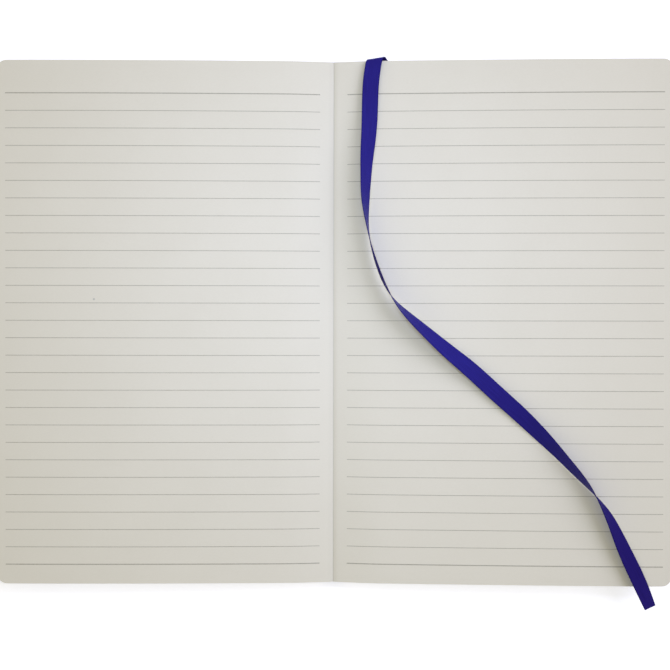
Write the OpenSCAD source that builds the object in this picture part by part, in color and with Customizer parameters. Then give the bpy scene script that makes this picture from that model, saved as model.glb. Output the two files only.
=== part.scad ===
// Softcover notebook lying open at its middle, with a ribbon marker across the right page.
// X runs along the width of the spread and is zero at the fold between the pages.
// Y runs towards the head of the pages and is zero at their middle, and Z is zero under the covers.

/* [Pages] */
// Width of a page, from the fold to the fore-edge
page_w = 135; // [110:1:170]
// Height of a page
page_h = 210; // [150:1:280]
// Radius of the rounded corners at the fore-edge
corner_r = 4; // [1:0.5:12]
// Height of the page beside the fold, above the endpaper
glued_h = 4.1; // [3.5:0.1:8]
// Thickness of the middle sheets where they meet at the fold, over the top of the spine
fold_t = 0.3; // [0.1:0.05:0.5]
// How far the page rises out of the fold
dip_h = 1.5; // [0.5:0.1:3]
// Width of that rise beside the fold
dip_w = 22; // [12:1:40]
// How far the loose sheets lift between the fold and the fore-edge
loft_h = 3.5; // [0.5:0.1:8]

/* [Ruling] */
// Distance from one line to the next
line_pitch = 7; // [5:0.5:10]
// Distance from the head of the page to the first line
head_margin = 13.2; // [8:0.1:25]
// Least distance from the last line to the tail of the page
tail_margin = 7.5; // [4:0.5:20]
// Distance from the fold to the lines
inner_margin = 5.5; // [3:0.5:20]
// Distance from the lines to the fore-edge
outer_margin = 3.5; // [1:0.5:20]
// Width of a line
line_w = 0.2; // [0.1:0.05:0.5]
// Width of the first and the last line
end_line_w = 0.35; // [0.2:0.05:0.8]
// Height of the printed lines above the paper
ink_h = 0.05; // [0.02:0.01:0.1]

/* [Cover] */
// Thickness of the soft cover
cover_t = 0.8; // [0.4:0.1:1.2]
// Inner radius of the bend where a cover turns up into the spine
bend_r = 0.7; // [0.4:0.1:1.2]
// Thickness of an endpaper
endpaper_t = 0.2; // [0.1:0.05:0.3]
// Gap between the two halves of the spine, at the crease on top of its arch
crease_gap = 0.3; // [0.1:0.1:1]

/* [Ribbon] */
// Width of the ribbon
ribbon_w = 6.5; // [3:0.5:8]
// Thickness of the ribbon
ribbon_t = 0.3; // [0.15:0.05:0.4]

/* [Hidden] */

cover_color = [0.12, 0.13, 0.38];
endpaper_color = [0.90, 0.89, 0.85];
page_color = [0.86, 0.86, 0.81];
ink_color = [0.70, 0.69, 0.65];
ribbon_color = [0.17, 0.13, 0.50];

// Underside of the pages, level of the page beside the fold, and top of the spine under it
block_z = cover_t + endpaper_t;
fold_z = block_z + glued_h;
crest_z = fold_z - fold_t;
// The open spine arches up under the fold: centre and outer radius of one half of the arch
arch = [crease_gap / 2, cover_t + bend_r];
arch_r = crest_z - arch.y;
// Centre of the bend between the arch and the flat cover
bend = arch + [arch_r + bend_r, 0];

// Facets of the two curves of a page and of a bend
dip_steps = 8;
loft_steps = 10;
bend_steps = 6;

// Height of the page surface at a distance from the fold
function page_z(x) =
    fold_z + dip_h * sin(90 * min(x / dip_w, 1)) + loft_h * sin(90 * x / page_w);

// Places of the facets' edges across a page
facet_x = concat(
    [arch.x],
    [for (i = [1 : dip_steps]) dip_w * i / dip_steps],
    [for (i = [1 : loft_steps]) dip_w + (page_w - dip_w) * i / loft_steps]
);
page_top = [for (x = facet_x) [x, page_z(x)]];

function reversed(points) = [for (i = [len(points) - 1 : -1 : 0]) points[i]];

// Points of an arc, which may leave out its first point where another arc ends
function arc(centre, r, from, to, first = 0) =
    [for (i = [first : bend_steps]) let (a = from + (to - from) * i / bend_steps)
        centre + r * [cos(a), sin(a)]];

// Outline of a page seen from above, with the fold on the left
module page_plan() {
    translate([0, corner_r - page_h / 2]) square([page_w, page_h - 2 * corner_r]);
    translate([0, -page_h / 2]) square([page_w - corner_r, page_h]);
    for (side = [-1, 1])
        translate([page_w - corner_r, side * (page_h / 2 - corner_r)]) circle(corner_r, $fn = 64);
}

// A section drawn in X and Z, carried along Y over a length
module along_y(length) {
    rotate([90, 0, 0]) linear_extrude(length, center = true) children();
}

// A section cut to the outline of a page
module cut_to_page(points) {
    intersection() {
        along_y(page_h) polygon(points);
        linear_extrude(page_z(page_w) + ink_h) page_plan();
    }
}

// A cover lies flat and turns up into its half of the arched spine
module half_cover() {
    cut_to_page(concat(
        [[page_w, 0]],
        arc(bend, bend_r + cover_t, 270, 180),
        arc(arch, arch_r - cover_t, 0, 90, 1),
        arc(arch, arch_r, 90, 0),
        arc(bend, bend_r, 180, 270, 1),
        [[page_w, cover_t]]
    ));
}

// The endpaper lies on the cover up to its bend
module half_endpaper() {
    intersection() {
        translate([0, 0, cover_t]) linear_extrude(endpaper_t) page_plan();
        translate([bend.x, -page_h / 2, 0]) cube([page_w, page_h, block_z]);
    }
}

// Half of the page block: its ends are glued round the arch, and chamfered clear of the bend
module half_pages() {
    cut_to_page(concat(
        arc(arch, arch_r, 90, 0),
        [[arch.x + arch_r + arch.y - block_z, block_z], [page_w, block_z]],
        reversed(page_top)
    ));
}

// Printed lines follow the page's surface
module half_ruling() {
    start_x = inner_margin;
    end_x = page_w - outer_margin;
    inner_x = [for (x = facet_x) if (x > start_x && x < end_x) x];
    under = [for (x = concat([start_x], inner_x, [end_x])) [x, lookup(x, page_top)]];
    over = [for (p = under) p + [0, ink_h]];
    last = floor((page_h - head_margin - tail_margin) / line_pitch);
    for (i = [0 : last])
        translate([0, page_h / 2 - head_margin - i * line_pitch, 0])
            along_y(i == 0 || i == last ? end_line_w : line_w)
                polygon(concat(under, reversed(over)));
}

// Middle line of the ribbon, from the back of the head edge over it and down across the right page.
// Each point is [x, y, z, turn, tilt]: the ribbon's width lies in plan at the angle turn, and its
// edge on that side is raised by the angle tilt.
ribbon_route = [
    [20.5, 105.5, 1.2, 180, 0],
    [19.5, 105.5, 3, 180, -10],
    [18.5, 105.5, 5, 180, -15],
    [17.5, 106, 7, 185, -15],
    [16.5, 105.5, 8.4, 185, -10],
    [16, 104, 8.8, 180, -5],
    [15.5, 101, 8.8, 180, 0],
    [14.5, 93.5, 9, 175, 0],
    [14.5, 83, 9.4, 180, 10],
    [14, 73, 9.9, 175, 25],
    [13, 65, 10.3, 175, 40],
    [13, 58, 10.6, 180, 50],
    [12.5, 51, 10.8, 180, 55],
    [13, 44, 10.9, 185, 70],
    [13.5, 38, 11.2, 190, 85],
    [15, 30, 11.7, 195, 90],
    [17.5, 22.5, 12.2, 200, 95],
    [19.5, 17, 12.5, 205, 95],
    [22.5, 11, 12.7, 210, 90],
    [26, 6.5, 12.9, 220, 75],
    [30.5, 2, 12.8, 225, 60],
    [38, -4.5, 12.7, 225, 45],
    [45, -11, 12.3, 225, 30],
    [53, -17, 11.7, 230, 15],
    [60, -23.5, 11.3, 225, 0],
    [67, -30, 11.1, 230, -5],
    [74, -36, 11.2, 225, -15],
    [80.5, -42.5, 11.7, 225, -30],
    [86.5, -48.5, 12.3, 225, -45],
    [91.5, -54, 12.8, 220, -60],
    [96.5, -59.5, 13.1, 225, -65],
    [101.5, -65, 13.5, 220, -80],
    [107, -73, 13.5, 215, -115],
    [110, -78, 13.2, 205, -130],
    [113.5, -86, 13, 205, -145],
    [116.5, -92.5, 12.7, 205, -155],
    [120, -99.5, 12.4, 205, -160],
    [123, -106, 12.2, 205, -155],
    [126, -113, 11.7, 190, -145]
];

function route_point(i) = [for (k = [0 : 2]) ribbon_route[i][k]];

function across_ribbon(i) =
    let (turn = ribbon_route[i][3], tilt = ribbon_route[i][4])
    [cos(turn) * cos(tilt), sin(turn) * cos(tilt), sin(tilt)];

function out_of_ribbon(i) =
    let (
        last = len(ribbon_route) - 1,
        along = route_point(min(i + 1, last)) - route_point(max(i - 1, 0)),
        normal = cross(along, across_ribbon(i))
    )
    normal / norm(normal);

// The four corners of the ribbon's flat section at a point of its route
function ribbon_ring(i) =
    let (
        side = across_ribbon(i) * ribbon_w / 2,
        face = out_of_ribbon(i) * ribbon_t / 2
    )
    [for (s = [[-1, -1], [1, -1], [1, 1], [-1, 1]]) route_point(i) + s[0] * side + s[1] * face];

module ribbon_strip() {
    last = len(ribbon_route) - 1;
    corners = [for (i = [0 : last]) each ribbon_ring(i)];
    // Opposite walls are split along the same diagonal, so a twist keeps the ribbon's thickness
    walls = [
        for (i = [0 : last - 1], k = [0 : 3])
            let (a = 4 * i + k, b = 4 * i + (k + 1) % 4)
            each k < 2 ? [[a, a + 4, b + 4], [a, b + 4, b]] : [[a, a + 4, b], [b, a + 4, b + 4]]
    ];
    ends = [[0, 1, 2], [0, 2, 3], [4 * last + 2, 4 * last + 1, 4 * last], [4 * last + 3, 4 * last + 2, 4 * last]];
    polyhedron(corners, concat(walls, ends));
}

module front_cover() {
    color(cover_color) mirror([1, 0, 0]) half_cover();
}

module front_endpaper() {
    color(endpaper_color) mirror([1, 0, 0]) half_endpaper();
}

module left_pages() {
    color(page_color) mirror([1, 0, 0]) half_pages();
}

module left_ruling() {
    color(ink_color) mirror([1, 0, 0]) half_ruling();
}

module back_cover() {
    color(cover_color) half_cover();
}

module back_endpaper() {
    color(endpaper_color) half_endpaper();
}

module right_pages() {
    color(page_color) half_pages();
}

module right_ruling() {
    color(ink_color) half_ruling();
}

module ribbon_marker() {
    color(ribbon_color) ribbon_strip();
}

front_cover();
front_endpaper();
left_pages();
left_ruling();
back_cover();
back_endpaper();
right_pages();
right_ruling();
ribbon_marker();
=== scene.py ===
"""Finish, camera and light for a softcover notebook, open with its ribbon across the right page."""

import math
import random

import bmesh
import bpy
import numpy as np
from mathutils import Euler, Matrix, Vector


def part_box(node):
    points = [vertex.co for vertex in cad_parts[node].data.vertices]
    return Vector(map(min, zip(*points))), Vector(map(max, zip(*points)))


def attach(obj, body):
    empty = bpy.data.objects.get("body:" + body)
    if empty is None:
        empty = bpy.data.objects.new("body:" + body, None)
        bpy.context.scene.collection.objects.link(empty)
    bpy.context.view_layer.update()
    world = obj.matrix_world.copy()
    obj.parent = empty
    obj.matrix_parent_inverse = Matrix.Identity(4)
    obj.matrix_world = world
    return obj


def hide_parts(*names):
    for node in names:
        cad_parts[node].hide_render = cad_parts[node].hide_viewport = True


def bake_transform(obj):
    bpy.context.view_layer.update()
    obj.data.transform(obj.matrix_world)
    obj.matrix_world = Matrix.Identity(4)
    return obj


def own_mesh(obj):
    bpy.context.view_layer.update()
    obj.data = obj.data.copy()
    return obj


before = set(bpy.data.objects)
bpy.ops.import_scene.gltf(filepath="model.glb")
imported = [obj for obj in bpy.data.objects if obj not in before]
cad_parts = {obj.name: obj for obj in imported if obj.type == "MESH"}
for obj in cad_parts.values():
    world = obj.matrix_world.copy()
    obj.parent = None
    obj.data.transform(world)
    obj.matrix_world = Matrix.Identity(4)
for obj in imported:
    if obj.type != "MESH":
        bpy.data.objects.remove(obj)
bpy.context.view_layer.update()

MM = 0.001
FRONT, BACK = "front_half", "back_half"

# Places read from the frame: the pages, the covers and the arch of the spine
PAGES_LOW, PAGES_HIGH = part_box("right_pages")
PAGE_W = PAGES_HIGH.x
HALF_H = PAGES_HIGH.y
CREASE_X = PAGES_LOW.x
CREST_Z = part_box("back_cover")[1].z
COVER_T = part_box("back_endpaper")[0].z
BLOCK_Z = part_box("back_endpaper")[1].z
BEND_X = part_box("back_endpaper")[0].x

# Sizes of the page's curve and of the bends, as in the solids
CORNER_R = 4 * MM
FOLD_T = 0.3 * MM
DIP_H = 1.5 * MM
DIP_W = 22 * MM
BEND_R = 0.7 * MM
FOLD_Z = CREST_Z + FOLD_T
LOFT_H = PAGES_HIGH.z - FOLD_Z - DIP_H
ARCH_Z = COVER_T + BEND_R
ARCH_R = CREST_Z - ARCH_Z

# Sheets of paper in each half, the middle one included
SHEETS = 48
SHEET_T = 0.1 * MM
FOLD_DROP = 0.12 * MM
DROP_REACH = 2.5 * CREASE_X
PAPER_EDGE_JITTER = 0.1 * MM

# Middle line of the ribbon in millimetres: x, y, z, the angle of its width in plan and its tilt
RIBBON_ROUTE = [
    (20.5, 105.5, 1.2, 180, 0),
    (19.5, 105.5, 3, 180, -10),
    (18.5, 105.5, 5, 180, -15),
    (17.5, 106, 7, 185, -15),
    (16.5, 105.5, 8.4, 185, -10),
    (16, 104, 8.8, 180, -5),
    (15.5, 101, 8.8, 180, 0),
    (14.5, 93.5, 9, 175, 0),
    (14.5, 83, 9.4, 180, 10),
    (14, 73, 9.9, 175, 25),
    (13, 65, 10.3, 175, 40),
    (13, 58, 10.6, 180, 50),
    (12.5, 51, 10.8, 180, 55),
    (13, 44, 10.9, 185, 70),
    (13.5, 38, 11.2, 190, 85),
    (15, 30, 11.7, 195, 90),
    (17.5, 22.5, 12.2, 200, 95),
    (19.5, 17, 12.5, 205, 95),
    (22.5, 11, 12.7, 210, 90),
    (26, 6.5, 12.9, 220, 75),
    (30.5, 2, 12.8, 225, 60),
    (38, -4.5, 12.7, 225, 45),
    (45, -11, 12.3, 225, 30),
    (53, -17, 11.7, 230, 15),
    (60, -23.5, 11.3, 225, 0),
    (67, -30, 11.1, 230, -5),
    (74, -36, 11.2, 225, -15),
    (80.5, -42.5, 11.7, 225, -30),
    (86.5, -48.5, 12.3, 225, -45),
    (91.5, -54, 12.8, 220, -60),
    (96.5, -59.5, 13.1, 225, -65),
    (101.5, -65, 13.5, 220, -80),
    (107, -73, 13.5, 215, -115),
    (110, -78, 13.2, 205, -130),
    (113.5, -86, 13, 205, -145),
    (116.5, -92.5, 12.7, 205, -155),
    (120, -99.5, 12.4, 205, -160),
    (123, -106, 12.2, 205, -155),
    (126, -113, 11.7, 190, -145),
]
RIBBON_W = 6.5 * MM
RIBBON_T = 0.22 * MM
SELVEDGE_T = 0.3 * MM
RIBBON_STEPS = 12
RIBBON_COLUMNS = 12
# Points of the route between which the ribbon leaves the head edge and lies free
RIBBON_HEAD, RIBBON_FREE = 5, 8
RIBBON_EVENING = 120

# The camera looks almost straight down, with the fold near the middle of its view
CAMERA_AT = (5.8 * MM, -1.4 * MM, 405.1 * MM)
CAMERA_TURN = (-0.509, 0.743, 0.086)
CAMERA_LENS = 53.16
CAMERA_SENSOR = 36


def page_z(x):
    """Height of the page's upper face at a distance x from the fold."""
    d = abs(x)
    dip = DIP_H * math.sin(math.pi / 2 * min(d / DIP_W, 1))
    return FOLD_Z + dip + LOFT_H * math.sin(math.pi / 2 * d / PAGE_W)


def half_height(x):
    """Half of the page's height at a distance x from the fold, which the rounded corners cut short."""
    over = abs(x) - (PAGE_W - CORNER_R)
    if over <= 0:
        return HALF_H
    return HALF_H - CORNER_R + math.sqrt(max(CORNER_R**2 - over**2, 0))


def smoothstep(t):
    t = min(max(t, 0), 1)
    return t * t * (3 - 2 * t)


def corner_stations(steps=8):
    """Places across the rounded corner, from its start to the fore-edge."""
    return [PAGE_W - CORNER_R + CORNER_R * math.sin(math.pi / 2 * i / steps) for i in range(steps + 1)]


def page_stations(start):
    """Places across a page from start to the fore-edge, closer together where the page bends more."""
    near = np.linspace(start, DIP_W, 15)
    far = np.linspace(DIP_W, PAGE_W - CORNER_R, 21)[1:]
    return [float(x) for x in near] + [float(x) for x in far] + corner_stations()[1:]


def mesh_object(name, verts, faces):
    mesh = bpy.data.meshes.new(name)
    mesh.from_pydata([tuple(v) for v in verts], [], faces)
    obj = bpy.data.objects.new(name, mesh)
    bpy.context.scene.collection.objects.link(obj)
    return obj


def smooth_but_edges(obj, angle=math.radians(40)):
    """Smooth shading, with the edges that turn by more than the angle kept sharp."""
    bm = bmesh.new()
    bm.from_mesh(obj.data)
    bmesh.ops.recalc_face_normals(bm, faces=bm.faces)
    for face in bm.faces:
        face.smooth = True
    for edge in bm.edges:
        edge.smooth = len(edge.link_faces) == 2 and edge.calc_face_angle() < angle
    bm.to_mesh(obj.data)
    bm.free()
    return obj


def carried_strip(upper, lower):
    """Points and faces of a sheet, from two rows of section points (x, z) over the page's height."""
    verts, faces = [], []
    for (xu, zu), (xl, zl) in zip(upper, lower):
        hu, hl = half_height(xu), half_height(xl)
        verts += [(xu, -hu, zu), (xu, hu, zu), (xl, hl, zl), (xl, -hl, zl)]
    for i in range(len(upper) - 1):
        a, b = 4 * i, 4 * i + 4
        faces += [(a + k, b + k, b + (k + 1) % 4, a + (k + 1) % 4) for k in range(4)]
    end = 4 * (len(upper) - 1)
    faces += [(0, 1, 2, 3), (end + 3, end + 2, end + 1, end)]
    return verts, faces


def material(name, roughness, specular=0.5):
    """A new material and its main shader."""
    mat = bpy.data.materials.new(name)
    mat.use_nodes = True
    shader = mat.node_tree.nodes["Principled BSDF"]
    shader.inputs["Roughness"].default_value = roughness
    shader.inputs["Specular IOR Level"].default_value = specular
    return mat, shader


def node(mat, kind, values=None, **settings):
    """A new shader node with settings, and with values for its inputs."""
    made = mat.node_tree.nodes.new(kind)
    for key, value in settings.items():
        setattr(made, key, value)
    for key, value in (values or {}).items():
        made.inputs[key].default_value = value
    return made


def join(mat, source, target):
    mat.node_tree.links.new(source, target)


def place(mat, scale=(1, 1, 1)):
    """The object's own coordinates in metres, stretched by scale."""
    coords = node(mat, "ShaderNodeTexCoord")
    mapping = node(mat, "ShaderNodeMapping", {"Scale": scale})
    join(mat, coords.outputs["Object"], mapping.inputs["Vector"])
    return mapping.outputs["Vector"]


def noise(mat, where, scale, detail=3, rough=0.55):
    made = node(mat, "ShaderNodeTexNoise", {"Scale": scale, "Detail": detail, "Roughness": rough})
    join(mat, where, made.inputs["Vector"])
    return made.outputs["Fac"]


def mix(mat, share, low, high):
    """A colour between low and high, which are colours or sockets."""
    made = node(mat, "ShaderNodeMix", data_type="RGBA")
    join(mat, share, made.inputs[0])
    for socket, value in ((made.inputs[6], low), (made.inputs[7], high)):
        if isinstance(value, tuple):
            socket.default_value = (*value, 1)
        else:
            join(mat, value, socket)
    return made.outputs[2]


def spread(mat, value, low, high, to_low=0, to_high=1):
    """The value's range from low to high, carried to another range and held there."""
    made = node(mat, "ShaderNodeMapRange")
    for key, number in (("From Min", low), ("From Max", high), ("To Min", to_low), ("To Max", to_high)):
        made.inputs[key].default_value = number
    join(mat, value, made.inputs["Value"])
    return made.outputs["Result"]


def arithmetic(mat, operation, a, b=0.0):
    made = node(mat, "ShaderNodeMath", operation=operation)
    for socket, value in ((made.inputs[0], a), (made.inputs[1], b)):
        if isinstance(value, (int, float)):
            socket.default_value = value
        else:
            join(mat, value, socket)
    return made.outputs["Value"]


def bump(mat, shader, height, distance, strength=1.0, before=None):
    made = node(mat, "ShaderNodeBump", {"Distance": distance, "Strength": strength})
    join(mat, height, made.inputs["Height"])
    if before is not None:
        join(mat, before, made.inputs["Normal"])
    join(mat, made.outputs["Normal"], shader.inputs["Normal"])
    return made.outputs["Normal"]


PAPER = (0.80, 0.785, 0.71)
PAPER_FIBRE = (0.755, 0.738, 0.660)
PAPER_SPECK = (0.44, 0.46, 0.45)
# Painted shade for the crease of the middle sheet
PAPER_CREASE_SHADE = (0.50, 0.49, 0.44)
ENDPAPER = (0.70, 0.69, 0.62)
ENDPAPER_FIBRE = (0.64, 0.63, 0.56)
INK_DEEP = (0.37, 0.36, 0.315)
INK_PALE = (0.49, 0.475, 0.42)
CLOUD_SCALE, FIBRE_SCALE, TOOTH_SCALE = 45, 900, 3200
SPECK_AT = (-96.0 * MM, 9.3 * MM, 0)
SPECK_R = 0.6 * MM
# Widths of the painted crease shade and of its fainter spread on each side
CREASE_SHADE_W = 0.42 * MM
FOLD_SHADE_FADE = 2.4 * MM


def paper_material(name, light=PAPER, dark=PAPER_FIBRE):
    """Uncoated writing paper: cloudy formation, short fibres and a fine tooth."""
    mat, shader = material(name, 0.85, 0.25)
    cloud = spread(mat, noise(mat, place(mat), CLOUD_SCALE, 4), 0.3, 0.7)
    fibres = noise(mat, place(mat, (1, 2.6, 1)), FIBRE_SCALE, 4, 0.7)
    share = arithmetic(mat, "MULTIPLY", cloud, 0.35)
    share = arithmetic(mat, "ADD", share, spread(mat, fibres, 0.35, 0.75, 0, 0.45))
    color = mix(mat, share, light, dark)
    join(mat, color, shader.inputs["Base Color"])
    tooth = noise(mat, place(mat), TOOTH_SCALE, 3, 0.6)
    first = bump(mat, shader, fibres, 0.02 * MM, 0.35)
    bump(mat, shader, tooth, 0.012 * MM, 0.35, first)
    return mat, shader, color


def centre_sheet_material():
    """The writing paper with painted shade along its crease and one small grey speck."""
    mat, shader, color = paper_material("page_paper")
    coords = node(mat, "ShaderNodeTexCoord")
    parts = node(mat, "ShaderNodeSeparateXYZ")
    join(mat, coords.outputs["Object"], parts.inputs["Vector"])
    across = arithmetic(mat, "ABSOLUTE", parts.outputs["X"])
    # Painted shade: darker along the crease, and faintly darker for a few millimetres on each side of it
    crease = spread(mat, across, 0.08 * MM, CREASE_SHADE_W, 0.5, 0)
    fold_shade = spread(mat, across, CREASE_SHADE_W, FOLD_SHADE_FADE, 0.12, 0)
    color = mix(mat, arithmetic(mat, "MAXIMUM", crease, fold_shade), color, PAPER_CREASE_SHADE)
    flat = node(mat, "ShaderNodeCombineXYZ")
    join(mat, parts.outputs["X"], flat.inputs["X"])
    join(mat, parts.outputs["Y"], flat.inputs["Y"])
    away = node(mat, "ShaderNodeVectorMath", operation="DISTANCE")
    away.inputs[1].default_value = SPECK_AT
    join(mat, flat.outputs["Vector"], away.inputs[0])
    speck = spread(mat, away.outputs["Value"], 0, SPECK_R, 1, 0)
    color = mix(mat, speck, color, PAPER_SPECK)
    join(mat, color, shader.inputs["Base Color"])
    return mat


def ink_material():
    """Pale grey offset ink that soaks a little into the paper's tooth."""
    mat, shader = material("ruling_ink", 0.8, 0.25)
    worn = spread(mat, noise(mat, place(mat), 1500, 3, 0.6), 0.3, 0.75)
    join(mat, mix(mat, worn, INK_DEEP, INK_PALE), shader.inputs["Base Color"])
    bump(mat, shader, noise(mat, place(mat), TOOTH_SCALE, 3, 0.6), 0.01 * MM, 0.3)
    return mat


COVER_SHADED_DEEP = (0.011, 0.013, 0.052)
COVER_BRIGHT = (0.026, 0.031, 0.115)
PEBBLE_SCALE, PORE_SCALE, TONE_SCALE = 900, 5200, 70


def cover_material():
    """Dark blue soft-touch leatherette: small pebbles with finer pores on them, with painted shade in the
    grooves between the pebbles.
    """
    mat, shader = material("cover_leatherette", 0.52, 0.22)
    pebble_values = {"Scale": PEBBLE_SCALE, "Randomness": 0.9}
    pebbles = node(mat, "ShaderNodeTexVoronoi", pebble_values, feature="DISTANCE_TO_EDGE")
    join(mat, place(mat), pebbles.inputs["Vector"])
    grooves = spread(mat, pebbles.outputs["Distance"], 0, 0.16)
    pores = noise(mat, place(mat), PORE_SCALE, 2, 0.5)
    worn = spread(mat, noise(mat, place(mat), TONE_SCALE, 4), 0.3, 0.7, 0.75, 1)
    # Painted shade: the colour darkens into the grooves between the pebbles; worn varies the tone at random
    tone = arithmetic(mat, "MULTIPLY", grooves, worn)
    join(mat, mix(mat, tone, COVER_SHADED_DEEP, COVER_BRIGHT), shader.inputs["Base Color"])
    join(mat, spread(mat, grooves, 0, 1, 0.68, 0.46), shader.inputs["Roughness"])
    first = bump(mat, shader, grooves, 0.05 * MM, 0.7)
    bump(mat, shader, pores, 0.012 * MM, 0.4, first)
    return mat


FACE_DEEP = (0.015, 0.0085, 0.125)
FACE_BRIGHT = (0.0305, 0.0235, 0.290)
# The back of satin is duller than the face; its darker colours also paint the shade where the back shows
BACK_DEEP_SHADED = (0.012, 0.0055, 0.085)
BACK_BRIGHT_SHADED = (0.0235, 0.0125, 0.193)
WARP_PITCH = 0.14 * MM
WEFT_PITCH = 0.21 * MM
STREAKS_ACROSS, STREAKS_ALONG = 5000, 120
# The selvedge darkens between these two places across the ribbon
SELVEDGE_IN, SELVEDGE_OUT = RIBBON_W * 0.44, RIBBON_W * 0.485


def ribbon_material():
    """Royal blue satin: long warp threads over a fine weft, tight selvedges, and a duller back whose darker
    colour is partly painted shade.
    """
    mat, shader = material("ribbon_satin", 0.5, 0.07)
    shader.inputs["Specular Tint"].default_value = (0.1, 0.4, 1, 1)
    along = node(mat, "ShaderNodeAttribute", attribute_name="along").outputs["Fac"]
    across = node(mat, "ShaderNodeAttribute", attribute_name="across").outputs["Fac"]
    back = node(mat, "ShaderNodeAttribute", attribute_name="back").outputs["Fac"]
    warp_turn = arithmetic(mat, "MULTIPLY", across, 2 * math.pi / WARP_PITCH)
    weft_turn = arithmetic(mat, "MULTIPLY", along, 2 * math.pi / WEFT_PITCH)
    warp = arithmetic(mat, "SINE", warp_turn)
    shifted = arithmetic(mat, "ADD", weft_turn, arithmetic(mat, "MULTIPLY", warp_turn, 0.4))
    weft = arithmetic(mat, "SINE", shifted)
    weave = arithmetic(mat, "MULTIPLY", warp, 0.6)
    weave = arithmetic(mat, "ADD", weave, arithmetic(mat, "MULTIPLY", weft, 0.4))
    streak_place = node(mat, "ShaderNodeCombineXYZ")
    join(mat, arithmetic(mat, "MULTIPLY", across, STREAKS_ACROSS), streak_place.inputs["X"])
    join(mat, arithmetic(mat, "MULTIPLY", along, STREAKS_ALONG), streak_place.inputs["Y"])
    streaks = noise(mat, streak_place.outputs["Vector"], 1, 2)
    tone = spread(mat, weave, -1, 1, 0.25, 0.75)
    tone = arithmetic(mat, "ADD", tone, spread(mat, streaks, 0.3, 0.7, -0.2, 0.2))
    side = arithmetic(mat, "ABSOLUTE", across)
    edge = spread(mat, side, SELVEDGE_IN, SELVEDGE_OUT, 1, 0.45)
    tone = arithmetic(mat, "MULTIPLY", tone, edge)
    face_color = mix(mat, tone, FACE_DEEP, FACE_BRIGHT)
    back_color_and_shade = mix(mat, tone, BACK_DEEP_SHADED, BACK_BRIGHT_SHADED)
    # Partly painted shade: the back side takes the darker back colours
    join(mat, mix(mat, back, face_color, back_color_and_shade), shader.inputs["Base Color"])
    join(mat, spread(mat, back, 0, 1, 0.42, 0.7), shader.inputs["Roughness"])
    bump(mat, shader, weave, 0.02 * MM, 0.5)
    return mat


def camera():
    data = bpy.data.cameras.new("camera")
    data.lens = CAMERA_LENS
    data.sensor_width = CAMERA_SENSOR
    data.clip_start, data.clip_end = 0.01, 20
    obj = bpy.data.objects.new("camera", data)
    bpy.context.scene.collection.objects.link(obj)
    obj.location = CAMERA_AT
    obj.rotation_euler = Euler([math.radians(a) for a in CAMERA_TURN], "XYZ")
    bpy.context.scene.camera = obj


def smooth_route(points, steps):
    """A smooth curve through the points, by Catmull and Rom's rule, with steps pieces between two points."""
    p = np.array(points, float)
    p = np.vstack([2 * p[0] - p[1], p, 2 * p[-1] - p[-2]])
    curve = []
    for i in range(1, len(p) - 2):
        a, b, c, d = p[i - 1 : i + 3]
        square = 2 * a - 5 * b + 4 * c - d
        cube = 3 * b - a - 3 * c + d
        for t in np.linspace(0, 1, steps, endpoint=False):
            curve.append(0.5 * (2 * b + (c - a) * t + square * t**2 + cube * t**3))
    curve.append(p[-2])
    return np.array(curve)


def relaxed(curve, start, end, rounds):
    """The curve with small waves evened out, fully past the place end and not at all before start."""
    curve = curve.copy()
    share = np.array([smoothstep((i - start) / (end - start)) for i in range(1, len(curve) - 1)])[:, None]
    for _ in range(rounds):
        curve[1:-1] += share * 0.25 * (curve[:-2] - 2 * curve[1:-1] + curve[2:])
    return curve


# Where the cloth thickens to the selvedge, as shares of half the width, and its thin outer rim
SELVEDGE_FROM, SELVEDGE_RAMP = 0.84, 0.1
RIM_SHARE = 0.45


def ribbon_section():
    """Points (across, out) of the ribbon's section: thin cloth with a thicker selvedge on each side."""
    top = []
    for i in range(RIBBON_COLUMNS + 1):
        u = math.sin(math.pi / 2 * (2 * i / RIBBON_COLUMNS - 1))
        thick = RIBBON_T + (SELVEDGE_T - RIBBON_T) * smoothstep((abs(u) - SELVEDGE_FROM) / SELVEDGE_RAMP)
        if i in (0, RIBBON_COLUMNS):
            thick *= RIM_SHARE
        top.append((u * RIBBON_W / 2, thick / 2))
    return top + [(a, -o) for a, o in reversed(top)]


def strip_faces(rings, n):
    """Faces of a strip whose rings of n points go across one side and back across the other."""
    faces = []
    for i in range(rings - 1):
        a, b = n * i, n * i + n
        faces += [(a + k, b + k, b + (k + 1) % n, a + (k + 1) % n) for k in range(n)]
    last = n * (rings - 1)
    for k in range(n // 2 - 1):
        faces.append((k, k + 1, n - 2 - k, n - 1 - k))
        faces.append((last + n - 1 - k, last + n - 2 - k, last + k + 1, last + k))
    return faces


def point_value(obj, name, values):
    """A number on each point, which the material reads by its name."""
    attribute = obj.data.attributes.new(name, "FLOAT", "POINT")
    attribute.data.foreach_set("value", values.astype(np.float32))


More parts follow.
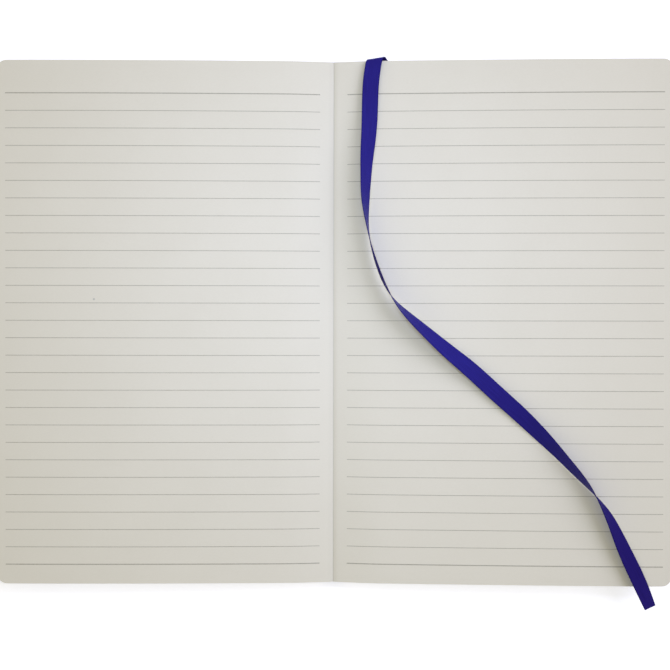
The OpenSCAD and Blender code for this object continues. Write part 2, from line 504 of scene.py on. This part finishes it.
def ribbon():
    """The ribbon marker as one strip of woven cloth that follows its route."""
    route = smooth_route(RIBBON_ROUTE, RIBBON_STEPS)
    route = relaxed(route, RIBBON_HEAD * RIBBON_STEPS, RIBBON_FREE * RIBBON_STEPS, RIBBON_EVENING)
    centre = route[:, :3] * MM
    turn, tilt = np.radians(route[:, 3]), np.radians(route[:, 4])
    side = np.stack([np.cos(turn) * np.cos(tilt), np.sin(turn) * np.cos(tilt), np.sin(tilt)], 1)
    out = np.cross(np.gradient(centre, axis=0), side)
    out /= np.linalg.norm(out, axis=1)[:, None]
    section = ribbon_section()
    verts = [centre[i] + a * side[i] + o * out[i] for i in range(len(centre)) for a, o in section]
    obj = mesh_object("ribbon", verts, strip_faces(len(centre), len(section)))
    smooth_but_edges(obj, math.radians(60))
    steps = np.linalg.norm(np.diff(centre, axis=0), axis=1)
    run = np.concatenate([[0], np.cumsum(steps)])
    point_value(obj, "along", np.repeat(run, len(section)))
    point_value(obj, "across", np.tile([a for a, o in section], len(centre)))
    point_value(obj, "back", np.tile([float(o > 0) for a, o in section], len(centre)))
    obj.data.materials.append(ribbon_material())
    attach(obj, BACK)
    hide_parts("ribbon_marker")
    return obj


BEND_STEPS, ARCH_STEPS = 6, 12


def cover_section():
    """Upper and lower section points of the cover, from the right fore-edge over the arch to the left one."""
    right = [((x, COVER_T), (x, 0)) for x in reversed(corner_stations())]
    right += [((x, COVER_T), (x, 0)) for x in np.linspace(PAGE_W - CORNER_R, BEND_X, 8)[1:-1]]
    for i in range(BEND_STEPS + 1):
        a = math.radians(270 - 90 * i / BEND_STEPS)
        c, s = math.cos(a), math.sin(a)
        inner = (BEND_X + BEND_R * c, ARCH_Z + BEND_R * s)
        outer = (BEND_X + (BEND_R + COVER_T) * c, ARCH_Z + (BEND_R + COVER_T) * s)
        right.append((inner, outer))
    for i in range(1, ARCH_STEPS + 1):
        a = math.radians(90 * i / ARCH_STEPS)
        c, s = math.cos(a), math.sin(a)
        outer = (CREASE_X + ARCH_R * c, ARCH_Z + ARCH_R * s)
        inner = (CREASE_X + (ARCH_R - COVER_T) * c, ARCH_Z + (ARCH_R - COVER_T) * s)
        right.append((outer, inner))
    middle = [((0, CREST_Z), (0, CREST_Z - COVER_T))]
    left = [((-u[0], u[1]), (-l[0], l[1])) for u, l in reversed(right)]
    rows = right + middle + left
    return [u for u, l in rows], [l for u, l in rows]


COVER_EDGE_R = 0.12 * MM


def cover():
    """The one-piece soft cover: front, arched spine and back."""
    obj = mesh_object("cover", *carried_strip(*cover_section()))
    smooth_but_edges(obj, math.radians(50))
    obj.data.materials.append(cover_material())
    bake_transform(obj)
    edge = obj.modifiers.new("cut_edge", "BEVEL")
    edge.width = COVER_EDGE_R
    edge.segments = 2
    edge.limit_method = "ANGLE"
    edge.angle_limit = math.radians(50)
    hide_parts("front_cover", "back_cover")
    return obj


def centre_sheet(mat):
    """The middle sheet, which is both open pages in one, folded at the crease."""
    right = page_stations(CREASE_X)
    crease = [CREASE_X * i / 4 for i in range(-3, 4)]
    stations = [-x for x in reversed(right)] + crease + right
    drop = [FOLD_DROP * (1 - smoothstep(abs(x) / DROP_REACH)) for x in stations]
    upper = [(x, page_z(x) - d) for x, d in zip(stations, drop)]
    lower = [(x, z - SHEET_T) for x, z in upper]
    obj = smooth_but_edges(mesh_object("centre_sheet", *carried_strip(upper, lower)))
    obj.data.materials.append(mat)
    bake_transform(obj)
    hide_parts("left_pages", "right_pages")
    return obj


# Gaps between loose sheets as shares of an even gap: the least, how much more they get, and a few wide ones
GAP_LEAST, GAP_VARIES = 0.75, 0.5
GAP_WIDER, WIDER_SHARE = 0.9, 0.12


def sheet_gap(draws):
    """The gap between two loose sheets, which is now and then a wide one."""
    gap = GAP_LEAST + GAP_VARIES * draws.random()
    return gap + (GAP_WIDER if draws.random() < WIDER_SHARE else 0)


def sheet_levels(draws):
    """Shares of the block's height at which the loose sheets lie: evenly spaced, and with uneven gaps."""
    count = SHEETS - 1
    even = [(k + 0.5) / (count + 0.5) for k in range(count)]
    gaps = [sheet_gap(draws) for k in range(count + 1)]
    sums = np.cumsum(gaps)
    uneven = [float((sums[k] - 0.5 * gaps[0]) / sums[-1]) for k in range(count)]
    return even, uneven


# A sheet leaves the glued arch within this reach, and its gaps are fully uneven past this distance
GLUE_REACH = 4 * MM
NEAR_SHARES = (0.12, 0.3, 0.5, 0.7, 1)
UNEVEN_FROM = 60 * MM
# Places nearer than this to a sheet's first and last point are left out
START_CLEAR, END_CLEAR = 0.1 * MM, 0.05 * MM


def sheet_line(level, uneven_level, end_x):
    """Points (x, z) along the top of a loose sheet, from the arch to the fore-edge."""
    angle = math.pi / 2 * level
    start_x = CREASE_X + ARCH_R * math.cos(angle)
    start_z = ARCH_Z + ARCH_R * math.sin(angle)
    stations = [x for x in page_stations(CREASE_X) if start_x + START_CLEAR < x < end_x - END_CLEAR]
    near = [start_x + GLUE_REACH * t for t in NEAR_SHARES]
    line = []
    for x in sorted({start_x, *near, *stations, end_x}):
        share = level + (uneven_level - level) * smoothstep(x / UNEVEN_FROM)
        space = page_z(x) - SHEET_T - BLOCK_Z
        settled = BLOCK_Z + SHEET_T + (space - SHEET_T) * share
        z = start_z + (settled - start_z) * smoothstep((x - start_x) / GLUE_REACH)
        line.append((x, z))
    return line


def loose_sheets(side, body, node_name, mat, seed):
    """The sheets of one half under the middle one, glued round the arch and lifting to the fore-edge."""
    draws = random.Random(seed)
    even, uneven = sheet_levels(draws)
    verts, faces = [], []
    for level, uneven_level in zip(even, uneven):
        end_x = PAGE_W - PAPER_EDGE_JITTER * draws.random()
        upper = [(side * x, z) for x, z in sheet_line(level, uneven_level, end_x)]
        lower = [(x, z - SHEET_T) for x, z in upper]
        strip, walls = carried_strip(upper, lower)
        base = len(verts)
        verts += strip
        faces += [tuple(base + i for i in wall) for wall in walls]
    obj = smooth_but_edges(mesh_object(node_name + "_sheets", verts, faces))
    obj.data.materials.append(mat)
    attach(obj, body)
    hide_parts(node_name)
    return obj


def dress_kept_nodes(ink, endpaper):
    """The printed lines and the endpapers are the solids themselves, with their finish."""
    for name, mat in (
        ("left_ruling", ink),
        ("right_ruling", ink),
        ("front_endpaper", endpaper),
        ("back_endpaper", endpaper),
    ):
        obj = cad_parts[name]
        obj.data.materials.clear()
        obj.data.materials.append(mat)


FLOOR_GLOW = (0.50, 0.52, 0.60)
FLOOR_NEAR, FLOOR_FAR = 0.3, 0.7
FLOOR_HALF = 3
FLOOR_DROP = 0.02 * MM


def seen_directly(owner):
    """1 for a ray from the camera, a mirror or glass, and 0 for light that falls on something."""
    rays = node(owner, "ShaderNodeLightPath")
    direct = arithmetic(owner, "MAXIMUM", rays.outputs["Is Camera Ray"], rays.outputs["Is Glossy Ray"])
    return arithmetic(owner, "MAXIMUM", direct, rays.outputs["Is Transmission Ray"])


def floor():
    """A white floor that keeps the object's shadow."""
    size = FLOOR_HALF
    corners = [(-size, -size, 0), (size, -size, 0), (size, size, 0), (-size, size, 0)]
    obj = mesh_object("floor", corners, [(0, 1, 2, 3)])
    obj.location.z = -FLOOR_DROP
    mat, shader = material("floor_white", 0.9, 0.1)
    shader.inputs["Base Color"].default_value = (0.9, 0.9, 0.9, 1)
    glow = node(mat, "ShaderNodeEmission")
    coords = node(mat, "ShaderNodeTexCoord")
    away = node(mat, "ShaderNodeVectorMath", operation="LENGTH")
    join(mat, coords.outputs["Object"], away.inputs[0])
    far = spread(mat, away.outputs["Value"], FLOOR_NEAR, FLOOR_FAR)
    join(mat, mix(mat, far, FLOOR_GLOW, (1, 1, 1)), glow.inputs["Color"])
    total = node(mat, "ShaderNodeAddShader")
    seen = node(mat, "ShaderNodeMixShader")
    join(mat, shader.outputs["BSDF"], total.inputs[0])
    join(mat, glow.outputs["Emission"], total.inputs[1])
    join(mat, seen_directly(mat), seen.inputs["Fac"])
    join(mat, shader.outputs["BSDF"], seen.inputs[1])
    join(mat, total.outputs["Shader"], seen.inputs[2])
    join(mat, seen.outputs["Shader"], mat.node_tree.nodes["Material Output"].inputs["Surface"])
    obj.data.materials.append(mat)


KEY_AT = (1.0, 0.55, 1.0)
KEY_SIZE = 1.3
KEY_WATTS = 13.5
KEY_COLOR = (0.688, 0.716, 1.0)
FILL_AT = (0.003, 0.039, 0.199)
FILL_SIZE = 0.06
FILL_WATTS = 0.157
FILL_COLOR = (0.653, 0.748, 1.0)
ROOM_LIGHT = (0.467, 0.429, 0.294)


def lamp(name, at, size, watts, color):
    """A round soft lamp that faces the middle of the spread and isn't seen itself."""
    data = bpy.data.lights.new(name, "AREA")
    data.shape = "DISK"
    data.size = size
    data.energy = watts
    data.color = color
    obj = bpy.data.objects.new(name, data)
    obj.location = at
    obj.rotation_euler = Vector(at).to_track_quat("Z", "Y").to_euler()
    obj.visible_camera = False
    bpy.context.scene.collection.objects.link(obj)


def room():
    """A warm pale room that lights the object, and looks white to the camera and in reflections."""
    world = bpy.data.worlds.new("room")
    world.use_nodes = True
    nodes = world.node_tree.nodes
    around = nodes["Background"]
    around.inputs["Color"].default_value = (*ROOM_LIGHT, 1)
    around.inputs["Strength"].default_value = 1
    white = node(world, "ShaderNodeBackground", {"Color": (1, 1, 1, 1), "Strength": 1})
    seen = node(world, "ShaderNodeMixShader")
    join(world, seen_directly(world), seen.inputs["Fac"])
    join(world, around.outputs["Background"], seen.inputs[1])
    join(world, white.outputs["Background"], seen.inputs[2])
    join(world, seen.outputs["Shader"], nodes["World Output"].inputs["Surface"])
    bpy.context.scene.world = world


# Each half draws its uneven gaps from a seed of its own
LEFT_SEED, RIGHT_SEED = 11, 23

camera()
marker = ribbon()
sheet_paper = paper_material("sheet_paper")[0]
endpaper_paper = paper_material("endpaper_paper", ENDPAPER, ENDPAPER_FIBRE)[0]
cover()
centre_sheet(centre_sheet_material())
loose_sheets(-1, FRONT, "left_pages", sheet_paper, LEFT_SEED)
loose_sheets(1, BACK, "right_pages", sheet_paper, RIGHT_SEED)
dress_kept_nodes(ink_material(), endpaper_paper)
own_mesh(marker)
floor()
lamp("key", KEY_AT, KEY_SIZE, KEY_WATTS, KEY_COLOR)
lamp("fill", FILL_AT, FILL_SIZE, FILL_WATTS, FILL_COLOR)
room()
bpy.context.scene.view_settings.view_transform = "Standard"
